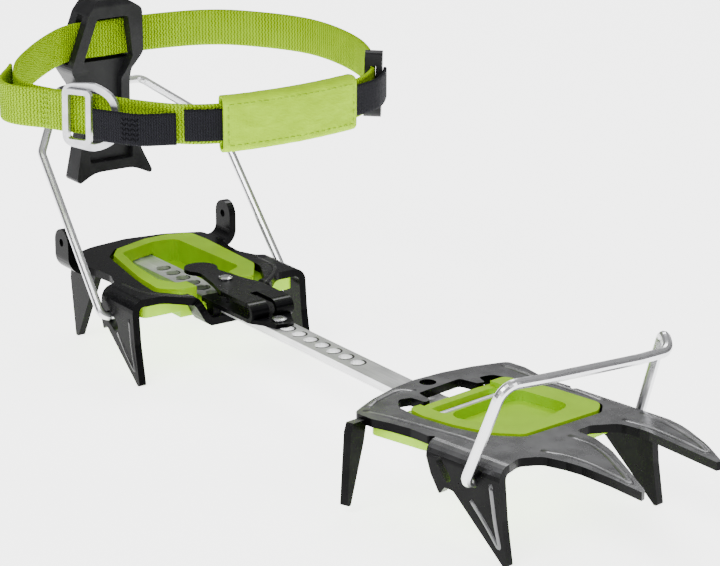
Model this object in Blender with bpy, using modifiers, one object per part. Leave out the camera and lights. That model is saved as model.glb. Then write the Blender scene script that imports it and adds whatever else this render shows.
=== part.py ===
"""One crampon: heel unit, front unit, linking bar, wire bails and ankle strap.

Drawn in millimetres in a drawing frame and written to Blender in metres.
X points to the toe, Y across the boot and Z up, with the tooth tips at Z = 0.
The drawing frame starts at the heel unit's front teeth. BOX_CENTRE moves the
finished object so that the middle of its box stands over the world origin.
The front unit is toed out by FRONT_YAW about FRONT_PIVOT_X, as on a
left-foot crampon.
"""
import math

import bmesh
import bpy
from mathutils import Matrix, Vector

MM = 0.001                       # one millimetre in metres
GAP = 0.3                        # clearance between touching pieces
BOX_CENTRE = (77.6637, 1.2261)         # middle of the object's box in the drawing frame

# Driving dimensions, in millimetres.
PLATE_TOP = 33.0                 # boot-side face of both plates
STEEL = 3.0                      # sheet thickness of plates and linking bar
BEND = 5.0                       # outer radius of the plates' side bends
HEEL_HALF = 39.5                 # half width over the heel flanges
FRONT_HALF = 38.5                # half width over the front flanges
FRONT_YAW = math.radians(8.7)
FRONT_PIVOT_X = 140.0

BAR_TOP = 28.2
BAR_HALF = 5.5
HEAD_SWELL = 0.2                 # the cross head stands this far proud of the bar
BAR_REAR = -68.0
BAR_FRONT = 151.5
HOLE_PITCH = 7.7
HOLE_COUNT = 17
FIRST_HOLE = -29.2

HEEL_BAIL_R = 1.7
HEEL_FOOT = (-18.0, 22.5)        # X and Z of the heel bail's hinge line
TOE_BAIL_R = 1.85
TOE_FOOT = (196.5, 25.0)
LEVER_PIN = (-92.0, 95.0)        # X and Z where the wire runs through the lever
LATCH_HINGE = (34.15, 35.4)
FRONT_HINGE = (152.0, 26.7)      # X before the toe-out, and Z

WEBBING = 15.0                   # width of all webbing
WEB_THICK = 1.7
STRAP_HEIGHT = 114.3             # strap centre where it runs through the lever
STRAP_TILT = math.radians(2.6)   # the loop drops towards its front
BUCKLE_AT = 12.38                # places along the loop, counted in its corner points
TAIL_ROOT = 12.08
TAIL_CLEAR = 2.6                 # the tail clears the flat D ring by this much
SLIDER_AT = 6.0
SLEEVE_SPAN = (7.35, 10.0)
KEEPER_END = 10.75
TAIL_END = 10.9
BUCKLE_FOLD = (12.95, 15.0)     # the buckle strap bulges out between these places
BUCKLE_BULGE = 4.8
TAPE = 12.0                      # width of the black tail and keeper webbing
SLIDER_OUT = 3.4
RING = 1.8                       # thickness of the buckle rings
SLIDER_HALF = 3.6
SLIDER_WALL = 2.2


# ---------------------------------------------------------------- scene tools
def clear_scene():
    for old in list(bpy.data.objects):
        bpy.data.objects.remove(old, do_unlink=True)


def new_collection(name):
    made = bpy.data.collections.new(name)
    bpy.context.scene.collection.children.link(made)
    return made


def new_material(name, colour, roughness, metallic):
    made = bpy.data.materials.new(name)
    made.use_nodes = True
    shader = made.node_tree.nodes["Principled BSDF"]
    shader.inputs["Base Color"].default_value = (*colour, 1.0)
    shader.inputs["Roughness"].default_value = roughness
    shader.inputs["Metallic"].default_value = metallic
    return made


def new_object(name, mesh, finish=None, collection=None):
    """Link a mesh or curve as an object of the part, or of the cutters."""
    made = bpy.data.objects.new(name, mesh)
    (collection or PARTS).objects.link(made)
    if finish:
        mesh.materials.append(finish)
    return made


def hide_cutter(cutter):
    cutter.hide_render = True
    cutter.display_type = "WIRE"
    return cutter


def evaluated_mesh(source, name):
    """The evaluated shape of an object as a welded mesh in its own frame."""
    graph = bpy.context.evaluated_depsgraph_get()
    mesh = bpy.data.meshes.new_from_object(source.evaluated_get(graph))
    mesh.name = name
    form = bmesh.new()
    form.from_mesh(mesh)
    bmesh.ops.remove_doubles(form, verts=form.verts, dist=0.00002)
    if all(edge.is_manifold for edge in form.edges):
        bmesh.ops.recalc_face_normals(form, faces=form.faces)
    form.to_mesh(mesh)
    form.free()
    return mesh


def bake(source):
    """Replace a curve, or an object with modifiers, by its finished mesh."""
    bpy.context.view_layer.update()
    mesh = evaluated_mesh(source, source.name)
    name = source.name
    place = source.matrix_world.copy()
    home = source.users_collection[0]
    bpy.data.objects.remove(source, do_unlink=True)
    made = bpy.data.objects.new(name, mesh)
    home.objects.link(made)
    made.matrix_world = place
    return made


def boolean(target, other, operation):
    """Cut or join with another object, which then goes."""
    change = target.modifiers.new(operation.lower(), "BOOLEAN")
    change.operation = operation
    change.solver = "EXACT"
    change.object = other
    made = bake(target)
    bpy.data.objects.remove(other, do_unlink=True)
    return made


def cut(target, *others):
    for other in others:
        target = boolean(target, other, "DIFFERENCE")
    return target


def join(target, *others):
    for other in others:
        target = boolean(target, other, "UNION")
    return target


def smooth(target, angle=35):
    target.data.shade_smooth()
    target.data.set_sharp_from_angle(angle=math.radians(angle))


# ------------------------------------------------------------ outline helpers
SHORTEST_ARC = 0.3               # corners that would be rounded by less stay sharp
ARC_STEP = math.radians(18)


def rounded(corners):
    """Corner points (x, y) or (x, y, radius) with each radius drawn as an arc."""
    outline = []
    count = len(corners)
    for index, corner in enumerate(corners):
        here = Vector(corner[:2])
        radius = corner[2] if len(corner) > 2 else 0.0
        before = Vector(corners[index - 1][:2]) - here
        after = Vector(corners[(index + 1) % count][:2]) - here
        if radius <= 0.0:
            outline.append(tuple(here))
            continue
        half = before.angle(after) / 2
        reach = min(radius / math.tan(half), 0.49 * before.length, 0.49 * after.length)
        if reach < SHORTEST_ARC:
            outline.append(tuple(here))
            continue
        radius = reach * math.tan(half)
        centre = here + (before.normalized() + after.normalized()).normalized() * radius / math.sin(half)
        start = here + before.normalized() * reach - centre
        end = here + after.normalized() * reach - centre
        turn = start.angle_signed(end)
        steps = max(1, math.ceil(abs(turn) / ARC_STEP))
        for step in range(steps + 1):
            angle = -turn * step / steps
            swung = Matrix.Rotation(angle, 2) @ start
            outline.append(tuple(centre + swung))
    return outline


def circle(x, y, radius, points=20):
    return [(x + radius * math.cos(2 * math.pi * k / points),
             y + radius * math.sin(2 * math.pi * k / points)) for k in range(points)]


def stadium(start, end, radius, points=8):
    """A slot with round ends between two centres."""
    along = Vector(end) - Vector(start)
    lead = math.atan2(along.y, along.x)
    outline = []
    for centre, turn in ((start, lead + math.pi / 2), (end, lead - math.pi / 2)):
        for k in range(points + 1):
            angle = turn + math.pi * k / points
            outline.append((centre[0] + radius * math.cos(angle), centre[1] + radius * math.sin(angle)))
    return outline


def mirrored(half):
    """Both sides of an outline given from the front centre to the rear centre."""
    other = [(p[0], -p[1], *p[2:]) for p in reversed(half) if p[1] > 0]
    return half + other


def flat_curve(name, loops, half_thickness=0.0):
    curve = bpy.data.curves.new(name, "CURVE")
    curve.dimensions = "2D"
    curve.fill_mode = "BOTH"
    curve.extrude = half_thickness * MM
    for loop in loops:
        spline = curve.splines.new("POLY")
        spline.points.add(len(loop) - 1)
        for point, (x, y) in zip(spline.points, loop):
            point.co = (x * MM, y * MM, 0.0, 1.0)
        spline.use_cyclic_u = True
    return curve


def slab(name, loops, low, high, finish=None, cutter=False):
    """A flat outline in plan, standing from one height to another."""
    curve = flat_curve(name, loops, (high - low) / 2)
    made = new_object(name, curve, None, CUTTERS if cutter else PARTS)
    made.location.z = (low + high) / 2 * MM
    made = bake(made)
    if finish:
        made.data.materials.append(finish)
    return hide_cutter(made) if cutter else made


def upright(name, loops, low, high, across="Y", cutter=True):
    """An outline in (x, z), or in (y, z) with across X, thick from low to high."""
    curve = flat_curve(name, loops, (high - low) / 2)
    made = new_object(name, curve, None, CUTTERS if cutter else PARTS)
    middle = (low + high) / 2 * MM
    if across == "Y":
        made.matrix_world = Matrix.Translation((0, middle, 0)) @ Matrix.Rotation(math.pi / 2, 4, "X")
    else:
        turn = Matrix(((0, 0, 1, 0), (1, 0, 0, 0), (0, 1, 0, 0), (0, 0, 0, 1)))
        made.matrix_world = Matrix.Translation((middle, 0, 0)) @ turn
    made = bake(made)
    return hide_cutter(made) if cutter else made


def block(name, low, high, cutter=True):
    """A box from its lowest to its highest corner."""
    form = bmesh.new()
    bmesh.ops.create_cube(form, size=1.0)
    size = [(b - a) * MM for a, b in zip(low, high)]
    middle = [(a + b) / 2 * MM for a, b in zip(low, high)]
    bmesh.ops.scale(form, vec=size, verts=form.verts)
    bmesh.ops.translate(form, vec=middle, verts=form.verts)
    mesh = bpy.data.meshes.new(name)
    form.to_mesh(mesh)
    form.free()
    made = new_object(name, mesh, None, CUTTERS if cutter else PARTS)
    return hide_cutter(made) if cutter else made


def bent_path(points, radius, steps=8):
    """A path through 3-D points with every inner corner drawn as an arc."""
    path = [Vector(points[0])]
    for before, here, after in zip(points, points[1:], points[2:]):
        corner = Vector(here)
        back = Vector(before) - corner
        forth = Vector(after) - corner
        half = back.angle(forth) / 2
        reach = min(radius / math.tan(half), 0.45 * back.length, 0.45 * forth.length)
        start = corner + back.normalized() * reach
        end = corner + forth.normalized() * reach
        centre = corner + (back.normalized() + forth.normalized()).normalized() * reach / math.cos(half)
        arm = start - centre
        swing = arm.rotation_difference(end - centre)
        for step in range(steps + 1):
            part = swing.copy()
            part.angle = swing.angle * step / steps
            path.append(centre + part @ arm)
    path.append(Vector(points[-1]))
    return path


def wire(name, path, radius, finish):
    """A round wire along a path."""
    curve = bpy.data.curves.new(name, "CURVE")
    curve.dimensions = "3D"
    curve.bevel_depth = radius * MM
    curve.bevel_resolution = 4
    curve.use_fill_caps = True
    spline = curve.splines.new("POLY")
    spline.points.add(len(path) - 1)
    for point, place in zip(spline.points, path):
        point.co = (*(place * MM), 1.0)
    made = bake(new_object(name, curve))
    made.data.materials.append(finish)
    smooth(made, 50)
    return made


def smooth_step(value):
    value = min(max(value, 0.0), 1.0)
    return value * value * (3 - 2 * value)


# ------------------------------------------------------------- bent sheet metal
def unfolded(half_width, z):
    """Flat-pattern distance from the centre line of a flange point at height z."""
    return half_width - BEND + BEND * math.pi / 2 + (PLATE_TOP - BEND - z)


def flange_corners(outline, half_width, side=1):
    """Side-view corners (x, z, radius) of a flange, laid out in the flat pattern."""
    return [(c[0], side * unfolded(half_width, c[1]), *c[2:]) for c in outline]


def fold_down(y, half_width):
    """Height drop and new distance across of a flat-pattern point."""
    run = abs(y) - (half_width - BEND)
    if run <= 0:
        return y, 0.0
    side = math.copysign(1.0, y)
    arc = BEND * math.pi / 2
    if run < arc:
        angle = run / BEND
        return side * (half_width - BEND + BEND * math.sin(angle)), BEND * (1 - math.cos(angle))
    return side * half_width, BEND + run - arc


def sheet(name, loops, fold, x_cuts, y_cuts, finish):
    """A flat pattern, cut across its bends, folded and given its thickness."""
    flat = bake(new_object(name, flat_curve(name, loops)))
    form = bmesh.new()
    form.from_mesh(flat.data)
    for axis, cuts in (((1, 0, 0), x_cuts), ((0, 1, 0), y_cuts)):
        for value in cuts:
            where = Vector(axis) * value * MM
            everything = form.verts[:] + form.edges[:] + form.faces[:]
            bmesh.ops.bisect_plane(form, geom=everything, dist=1e-7, plane_co=where, plane_no=axis)
    bmesh.ops.remove_doubles(form, verts=form.verts, dist=1e-6)
    for vertex in form.verts:
        x, y, z = fold(vertex.co.x / MM, vertex.co.y / MM)
        vertex.co = Vector((x, y, z)) * MM
    bmesh.ops.recalc_face_normals(form, faces=form.faces)
    top = max(form.faces, key=lambda face: face.calc_area())
    if top.normal.z < 0:
        bmesh.ops.reverse_faces(form, faces=form.faces)
    form.to_mesh(flat.data)
    form.free()
    thick = flat.modifiers.new("steel", "SOLIDIFY")
    thick.thickness = STEEL * MM
    thick.offset = -1.0
    thick.use_even_offset = True
    made = bake(flat)
    made.data.materials.append(finish)
    return made


def bend_lines(half_width, count=5):
    """Flat-pattern lines across both side bends."""
    lines = [half_width - BEND + BEND * math.pi / 2 * k / count for k in range(count + 1)]
    return lines + [-line for line in lines]


# ------------------------------------------------------------------ heel unit
TAB_FOLD = 32.0                  # where the rear tabs start to turn up
TAB_BEND = 4.0
TAB_TOP = 48.0
TAB_SPAN = (-62.0, -51.0)
BRIDGE_DROP = 8.5                # the front bridge dips under the linking bar
BRIDGE_REAR = -3.0


def heel_fold(x, y):
    """Where a point of the heel plate's flat pattern ends up."""
    if x < TAB_SPAN[1] + 2 and abs(y) > TAB_FOLD:
        side = math.copysign(1.0, y)
        run = abs(y) - TAB_FOLD
        arc = TAB_BEND * math.pi / 2
        if run < arc:
            angle = run / TAB_BEND
            return x, side * (TAB_FOLD + TAB_BEND * math.sin(angle)), PLATE_TOP + TAB_BEND * (1 - math.cos(angle))
        return x, side * (TAB_FOLD + TAB_BEND), PLATE_TOP + TAB_BEND + run - arc
    across, drop = fold_down(y, HEEL_HALF)
    dip = 0.0
    if x > BRIDGE_REAR:
        dip = BRIDGE_DROP * smooth_step((16.5 - abs(y)) / 6.0) * smooth_step((x - BRIDGE_REAR) / 4.0)
    return x, across, PLATE_TOP - drop - dip


def heel_plate(finish):
    """Stamped steel plate: side flanges with teeth, rear tabs, dipped bridge."""
    tab_end = TAB_FOLD + TAB_BEND * math.pi / 2 + TAB_TOP - PLATE_TOP - TAB_BEND
    flange = [(0.5, 27.0), (1.5, 16.0), (4.5, 0.0, 0.8), (2.8, 0.0, 0.8), (-18.7, 16.8), (-20.3, 18.2, 0.8),
              (-22.8, 15.9, 0.6), (-24.8, 21.5), (-23.8, 28.0)]
    half = [(12.0, 0.0), (12.0, 13.0, 3.0), (8.0, 18.5, 4.0), (0.0, 26.0, 6.0), (0.0, 33.0)]
    half += flange_corners(flange, HEEL_HALF)
    half += [(-24.5, 33.0, 4.0), (-34.0, 29.5, 6.0), (-45.0, 30.5, 6.0), (-50.0, TAB_FOLD, 1.5),
             (TAB_SPAN[1], TAB_FOLD + 6.0), (TAB_SPAN[1], tab_end, 5.5), (TAB_SPAN[0], tab_end, 5.5),
             (TAB_SPAN[0], TAB_FOLD), (-66.0, 31.5, 3.0), (-72.5, 17.0, 12.0), (-75.0, 0.0)]
    window = [(-64.0, -11.0, 3.0), (-69.5, 5.0, 6.0), (-70.0, 16.0, 6.0), (-67.0, 27.0, 4.0), (-53.0, 27.5, 6.0),
              (-12.0, 26.0, 8.0), (3.0, 18.5, 2.0), (3.0, -18.5, 2.0), (-6.0, -26.0, 5.0), (-24.0, -24.0, 8.0),
              (-56.0, -18.0, 5.0)]
    flat = unfolded(HEEL_HALF, HEEL_FOOT[1])
    hole_line = unfolded(HEEL_HALF, 19.8)
    slots = [stadium((HEEL_FOOT[0], side * flat), (-13.6, side * hole_line), HEEL_BAIL_R + 0.6)
             for side in (-1, 1)]
    eyes = [circle(-56.5, side * (tab_end - 5.5), 1.6, 14) for side in (-1, 1)]
    loops = [rounded(mirrored(half)), rounded(window)] + slots + eyes
    tab_lines = [TAB_FOLD + TAB_BEND * math.pi / 2 * k / 4 for k in range(5)]
    dip_lines = [10.5 + 6.0 * k / 6 for k in range(7)]
    y_cuts = bend_lines(HEEL_HALF)
    y_cuts += [side * line for side in (-1, 1) for line in tab_lines + dip_lines]
    x_cuts = [BRIDGE_REAR, BRIDGE_REAR + 2.0, BRIDGE_REAR + 4.0]
    plate = sheet("heel_plate", loops, heel_fold, x_cuts, y_cuts, finish)
    tooth = rounded([(-66.0, PLATE_TOP - 1.0), (-45.0, PLATE_TOP - 1.0), (-48.0, 26.0), (-62.5, 0.0, 0.7),
                     (-64.5, 0.0, 0.7), (-67.5, 24.0)])
    for side in (-1, 1):
        middle = side * 28.2
        plate = join(plate, upright("rear_tooth", [tooth], middle - STEEL / 2, middle + STEEL / 2))
    smooth(plate)
    return plate


def heel_antibott(finish):
    """Plastic snow plate: a slab clipped under the steel with a basin in the window."""
    under = [(-1.0, 0.0), (-1.0, 34.5, 3.0), (-22.0, 34.5, 3.0), (-25.0, 28.0, 4.0), (-44.0, 25.5, 4.0),
             (-62.0, 25.5, 5.0), (-69.0, 12.0, 6.0), (-71.0, 0.0)]
    rim = [(-62.0, -11.0, 3.0), (-68.0, 5.0, 5.0), (-68.5, 15.5, 5.0), (-65.5, 25.5, 3.5), (-53.0, 26.3, 5.0),
           (-14.0, 24.6, 6.0), (-1.0, 16.0, 2.0), (-1.0, -17.0, 2.0), (-7.0, -24.0, 4.0), (-24.0, -22.6, 7.0),
           (-55.0, -16.5, 4.0)]
    basin = [(-56.0, -12.0, 3.0), (-62.5, 6.0, 4.0), (-61.0, 16.0, 4.0), (-14.0, 17.5, 4.0), (-9.0, 8.0, 3.0),
             (-9.0, -14.0, 3.0), (-17.0, -18.0, 4.0), (-40.0, -15.5, 8.0)]
    made = slab("heel_antibott", [rounded(mirrored(under))], 22.4, PLATE_TOP - STEEL - GAP)
    made = join(made, slab("rim", [rounded(rim)], 24.0, PLATE_TOP + 0.8, cutter=True))
    made = cut(made, slab("basin", [rounded(basin)], BAR_TOP - STEEL - 0.5, 40.0, cutter=True))
    track = block("track", (-80.0, -BAR_HALF - 0.6, BAR_TOP - STEEL - 0.5), (5.0, BAR_HALF + 0.6, BAR_TOP + 0.6))
    latch_room = block("latch_room", (-16.0, -10.0, BAR_TOP), (5.0, 10.0, 40.0))
    belly = rounded([(-80.0, 10.0), (5.0, 10.0), (5.0, 24.4), (-6.0, 25.4, 3.0), (-14.0, 27.4, 6.0),
                     (-80.0, 27.4)])
    shaves = [upright("shave", [belly], 17.5, 45.0), upright("shave", [belly], -45.0, -17.5)]
    nicks = [upright("nick", [rounded([(-68.5, 10.0), (-44.0, 10.0), (-44.0, 40.0), (-68.5, 40.0)])],
                     side * 28.2 - STEEL / 2 - GAP, side * 28.2 + STEEL / 2 + GAP) for side in (-1, 1)]
    made = cut(made, track, latch_room, *shaves, *nicks)
    made.data.materials.append(finish)
    smooth(made)
    return made


def linking_bar(finish):
    """Flat steel bar with its row of holes and the cross head in the front plate."""
    shank = [(BAR_REAR, -BAR_HALF, 1.5), (FRONT_PIVOT_X, -BAR_HALF), (BAR_FRONT, -BAR_HALF + 1.0),
             (BAR_FRONT, BAR_HALF + 3.0), (FRONT_PIVOT_X, BAR_HALF), (BAR_REAR, BAR_HALF, 1.5)]
    holes = [circle(FIRST_HOLE + HOLE_PITCH * k, 0.0, 2.6, 14) for k in range(-2, HOLE_COUNT)]
    low = BAR_TOP - STEEL
    made = slab("linking_bar", [rounded(shank)], low, BAR_TOP)
    head = rounded([(150.5, -14.5, 1.5), (157.5, -14.5, 1.5), (157.5, 14.5, 1.5), (150.5, 14.5, 1.5)])
    lip = rounded([(155.2, low + 1.0), (158.0, low + 1.0), (158.0, 31.2, 1.2), (155.2, 31.2, 1.2)])
    head = slab("head", [head], low - HEAD_SWELL, BAR_TOP + HEAD_SWELL, cutter=True)
    head = join(head, upright("lip", [lip], -14.0, 14.0))
    turn_to_front(head)
    made = join(made, head)
    made = cut(made, slab("holes", holes, low - 1.0, BAR_TOP + 1.0, cutter=True))
    made.data.materials.append(finish)
    smooth(made)
    return made


def turn_to_front(target):
    """Swing a piece drawn straight ahead into the front unit's toed-out frame."""
    pivot = Vector((FRONT_PIVOT_X * MM, 0, 0))
    turn = Matrix.Translation(pivot) @ Matrix.Rotation(FRONT_YAW, 4, "Z") @ Matrix.Translation(-pivot)
    target.data.transform(turn)
    return target


# -------------------------------------------------------------- length latch
LATCH_TOP = 36.2
SPRING = 1.6                     # spring strip thickness
CURL_X = 34.3
PIN_X = 4.0
THUMB_X = -14.5
THUMB_R = 6.6
RIVET_X = 42.5


def latch_arm(finish):
    """Upper leaf of the spring latch, from the thumb tab to the curls."""
    half = [(CURL_X - GAP, 0.0), (CURL_X - GAP, 9.5), (15.0, 9.5, 6.0), (6.0, 6.8, 8.0), (-7.5, 4.2, 5.0)]
    round_end = [(THUMB_X + THUMB_R * math.cos(a), THUMB_R * math.sin(a))
                 for a in (math.radians(45 + 135 * k / 9) for k in range(10))]
    outline = rounded(mirrored(half + round_end))
    split = [(CURL_X + 5.0, -1.6), (CURL_X + 5.0, 1.6), (24.0, 1.6), (24.0, -1.6)]
    made = slab("latch_arm", [outline, circle(PIN_X, 0.0, 2.3, 14)], LATCH_TOP - SPRING, LATCH_TOP)
    made = cut(made, slab("split", [split], 30.0, 50.0, cutter=True))
    made.data.materials.append(finish)
    smooth(made)
    return made


def latch_spring(finish):
    """Lower leaf with its two curls and the staple legs beside the bar."""
    low = BAR_TOP + GAP
    half = [(RIVET_X + 5.5, 0.0), (RIVET_X + 3.9, 3.9), (RIVET_X, 5.5), (35.5, 9.5, 3.0), (0.5, 9.5, 1.5), (0.5, 0.0)]
    holes = [circle(RIVET_X, 0.0, 1.9, 14), circle(PIN_X, 0.0, 3.1, 14)]
    made = slab("latch_spring", [rounded(mirrored(half))] + holes, low, low + SPRING)
    outer = (LATCH_TOP - low) / 2 - 0.05
    inner_radius = outer - SPRING + 0.1
    middle = (LATCH_TOP + low) / 2
    arc = [(CURL_X + outer * math.cos(a), middle + outer * math.sin(a))
           for a in (math.radians(-90 + 180 * k / 14) for k in range(15))]
    inner = [(CURL_X + inner_radius * math.cos(a), middle + inner_radius * math.sin(a))
             for a in (math.radians(90 - 180 * k / 14) for k in range(15))]
    curl = [(CURL_X - 3.0, low + 0.3)] + arc + inner + [(CURL_X - 3.0, low + SPRING - 0.3)]
    legs = [(5.0, 10.0, -9.3, -6.1), (5.0, 10.0, 6.1, 9.3)]
    made = join(made, upright("curl", [curl], -9.4, -1.6), upright("curl", [curl], 1.6, 9.4))
    for x0, x1, y0, y1 in legs:
        made = join(made, block("leg", (x0, y0, PLATE_TOP - BRIDGE_DROP + GAP), (x1, y1, low + 0.8)))
    made.data.materials.append(finish)
    smooth(made)
    return made


def headed_pin(name, x, radius, head_radius, low, seat, head, finish):
    """A turned pin with a domed head, standing upright."""
    form = bmesh.new()
    profile = [(0.0, seat + head), (head_radius * 0.7, seat + head), (head_radius, seat + head * 0.5),
               (head_radius, seat), (radius, seat), (radius, low), (0.0, low)]
    points = [form.verts.new((r * MM, 0.0, z * MM)) for r, z in profile]
    for first, second in zip(points, points[1:]):
        form.edges.new((first, second))
    mesh = bpy.data.meshes.new(name)
    form.to_mesh(mesh)
    form.free()
    made = new_object(name, mesh)
    turned = made.modifiers.new("turned", "SCREW")
    turned.steps = 20
    turned.render_steps = 20
    turned.use_merge_vertices = True
    turned.merge_threshold = 0.00001
    made = bake(made)
    made.data.transform(Matrix.Translation((x * MM, 0, 0)))
    made.data.materials.append(finish)
    smooth(made)
    return made


# ----------------------------------------------------------------- heel bail
def heel_bail(finish):
    """One wire: feet in the flange slots, up both sides and round behind the heel."""
    x, z = HEEL_FOOT
    side = [(x, -34.8, z), (x, -42.6, z), (-66.5, -41.0, 77.5), (LEVER_PIN[0], -19.0, LEVER_PIN[1])]
    other = [(a, -b, c) for a, b, c in reversed(side)]
    return wire("heel_bail", bent_path(side + other, 5.0), HEEL_BAIL_R, finish)


LEVER_REAR = -98.5
LEVER_FRONT = -84.0              # front face of the lever's hood
LEVER_FACE = -88.4               # front face of the strap's way through the hood
HOOK_FRONT = -81.0               # the welt hook leans forward to here


def heel_lever(finish):
    """Plastic heel lever: strap hood with a slanted leg, wire hole, welt hook at the bottom."""
    outline = rounded([(-4.0, 131.0, 3.0), (9.0, 131.0, 3.0), (16.2, 126.5, 3.0), (16.2, 108.0, 4.0),
                       (10.8, 102.0, 3.0), (10.4, 78.0, 8.0), (18.3, 56.5, 1.2), (9.0, 60.8, 12.0),
                       (-9.0, 60.8, 12.0), (-18.3, 56.5, 1.2), (-11.0, 78.0, 8.0), (-12.0, 95.0, 4.0),
                       (-17.3, 103.5, 3.0), (-8.3, 126.0, 4.0)])
    made = upright("heel_lever", [outline], LEVER_REAR, HOOK_FRONT, "X", cutter=False)
    front_cut = [(HOOK_FRONT + 1, 50.0), (HOOK_FRONT - 0.2, 50.0), (HOOK_FRONT - 0.2, 58.0, 2.0),
                 (-83.5, 66.0, 6.0), (-86.2, 78.0, 10.0), (-86.2, 97.0, 4.0), (LEVER_FRONT, 103.0, 2.0),
                 (LEVER_FRONT, 129.0, 2.0), (LEVER_FRONT - 3.0, 133.0), (HOOK_FRONT + 1, 133.0)]
    rear_cut = [(LEVER_REAR - 1, 50.0), (-90.0, 50.0), (-95.5, 80.0, 10.0), (LEVER_REAR - 1, 90.0)]
    strap_way = block("strap_way", (-93.0, -30.0, 105.5), (LEVER_FACE, 30.0, 125.0))
    window = upright("window", [rounded([(-11.3, 107.0, 1.0), (-7.2, 98.0, 1.0), (-6.8, 78.0, 2.0), (6.4, 78.0, 2.0),
                                         (6.8, 98.0, 1.0), (11.2, 107.0, 1.0), (9.6, 123.8, 1.5),
                                         (-4.6, 123.8, 1.5)])], LEVER_FACE - 0.8, -79.0, "X")
    recess = upright("recess", [rounded([(-10.0, 64.6, 1.0), (9.4, 64.6, 1.0), (10.4, 70.6, 1.0),
                                         (-11.0, 70.6, 1.0)])], -87.0, -79.0, "X")
    wire_hole = upright("wire_hole", [circle(*LEVER_PIN, HEEL_BAIL_R + GAP, 16)], -30.0, 30.0)
    made = cut(made, upright("front_cut", [rounded(front_cut)], -30.0, 30.0),
               upright("rear_cut", [rounded(rear_cut)], -30.0, 30.0), strap_way, window, recess, wire_hole)
    made.data.materials.append(finish)
    smooth(made)
    return made


# ----------------------------------------------------------------- front unit
FLANGE_START = 174.4             # the front flanges begin here
RELIEF = 0.4                     # half width of the relief cut beside each flange
REAR_TOOTH_X = 142.1
REAR_TIP = 2.5                   # the rear pair of teeth stops short of the ground
REAR_LEAN = 0.21                 # and leans back by this share of its length


def front_fold(x, y):
    """Where a point of the front plate's flat pattern ends up."""
    if x < FLANGE_START:
        return x, y, PLATE_TOP
    across, drop = fold_down(y, FRONT_HALF)
    return x, across, PLATE_TOP - drop


def front_plate(finish):
    """Stamped front plate: two forward points, side flanges with a big tooth each."""
    flange = [(175.5, 28.0), (177.6, 22.5), (181.8, 16.3, 0.6), (184.2, 19.4, 1.0), (188.0, 19.2, 2.0),
              (210.6, 0.0, 0.8), (212.4, 0.0, 0.8), (209.8, 15.0), (208.5, 28.0)]
    bend_start = FRONT_HALF - BEND - 0.2
    rear = [(131.0, 0.0), (132.2, 12.0), (135.0, 24.0, 8.0), (137.6, 31.0), (140.2, 37.2, 2.5),
            (148.5, 37.4, 2.5), (156.0, 35.5), (164.0, 34.2), (172.5, 34.6, 1.0),
            (FLANGE_START - RELIEF, bend_start), (FLANGE_START + RELIEF, bend_start)]
    near_fin = [(208.0, -33.5), (206.5, -27.5, 4.0), (210.5, -21.0, 5.0), (222.0, -18.0, 20.0),
                (238.0, -18.8, 20.0), (252.0, -20.6), (251.5, -18.6), (237.0, -9.5, 30.0), (222.0, -0.5, 20.0),
                (211.0, 3.8, 10.0), (202.5, 4.0, 2.0)]
    far_fin = [(202.5, 11.0, 3.0), (208.0, 19.5, 6.0), (218.0, 20.8, 15.0), (237.0, 18.0, 30.0),
               (252.0, 15.8), (252.5, 17.8), (240.0, 25.8, 30.0), (226.0, 32.3, 25.0), (214.0, 35.8, 10.0),
               (208.5, 36.0)]
    near = [(x, -y, *r) for x, y, *r in rear[1:]] + flange_corners(flange, FRONT_HALF, -1)
    far = list(reversed(rear[1:] + flange_corners(flange, FRONT_HALF)))
    outline = rounded([rear[0]] + near + near_fin + far_fin + far)
    window = rounded([(156.0, -24.5, 8.0), (146.5, -23.0, 4.0), (141.5, -18.0, 2.5), (143.0, -13.6, 1.0),
                      (149.5, -13.0, 0.8), (149.0, -10.2, 0.8), (141.5, -8.5, 1.5), (141.0, 12.0, 1.5),
                      (148.5, 13.2, 0.8), (149.5, 16.0, 0.8), (144.5, 18.0, 1.5), (146.0, 23.5, 3.0),
                      (152.0, 25.0, 8.0), (172.0, 28.5, 12.0), (192.0, 29.5, 5.0), (197.0, 23.0, 4.0),
                      (196.0, 4.0, 20.0), (195.0, -12.0, 5.0), (187.0, -19.0, 12.0), (172.0, -23.5, 12.0)])
    hole_y = unfolded(FRONT_HALF, TOE_FOOT[1])
    feet = [circle(TOE_FOOT[0], side * hole_y, TOE_BAIL_R + 0.4, 18) for side in (-1, 1)]
    slots = [stadium((181.5, side * unfolded(FRONT_HALF, 27.7)), (185.5, side * unfolded(FRONT_HALF, 22.9)), 1.4)
             for side in (-1, 1)]
    loops = [outline, window, circle(136.0, 1.5, 3.0)] + feet + slots
    plate = sheet("front_plate", loops, front_fold, [FLANGE_START], bend_lines(FRONT_HALF), finish)
    root = PLATE_TOP - 1.4
    tooth = rounded([(29.8, root), (35.9, root), (37.0, 28.5, 2.0), (37.9, 16.0), (38.8, REAR_TIP, 0.5),
                     (37.2, REAR_TIP, 0.5), (31.2, 24.0)])
    lean = Matrix(((1, 0, REAR_LEAN, -REAR_LEAN * root * MM), (0, 1, 0, 0), (0, 0, 1, 0), (0, 0, 0, 1)))
    for side in (-1, 1):
        mirrored_tooth = [(side * y, z) for y, z in tooth]
        blade = upright("rear_tooth", [mirrored_tooth], REAR_TOOTH_X, REAR_TOOTH_X + STEEL, "X")
        blade.data.transform(lean)
        plate = join(plate, blade)
    smooth(plate)
    return turn_to_front(plate)


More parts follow.
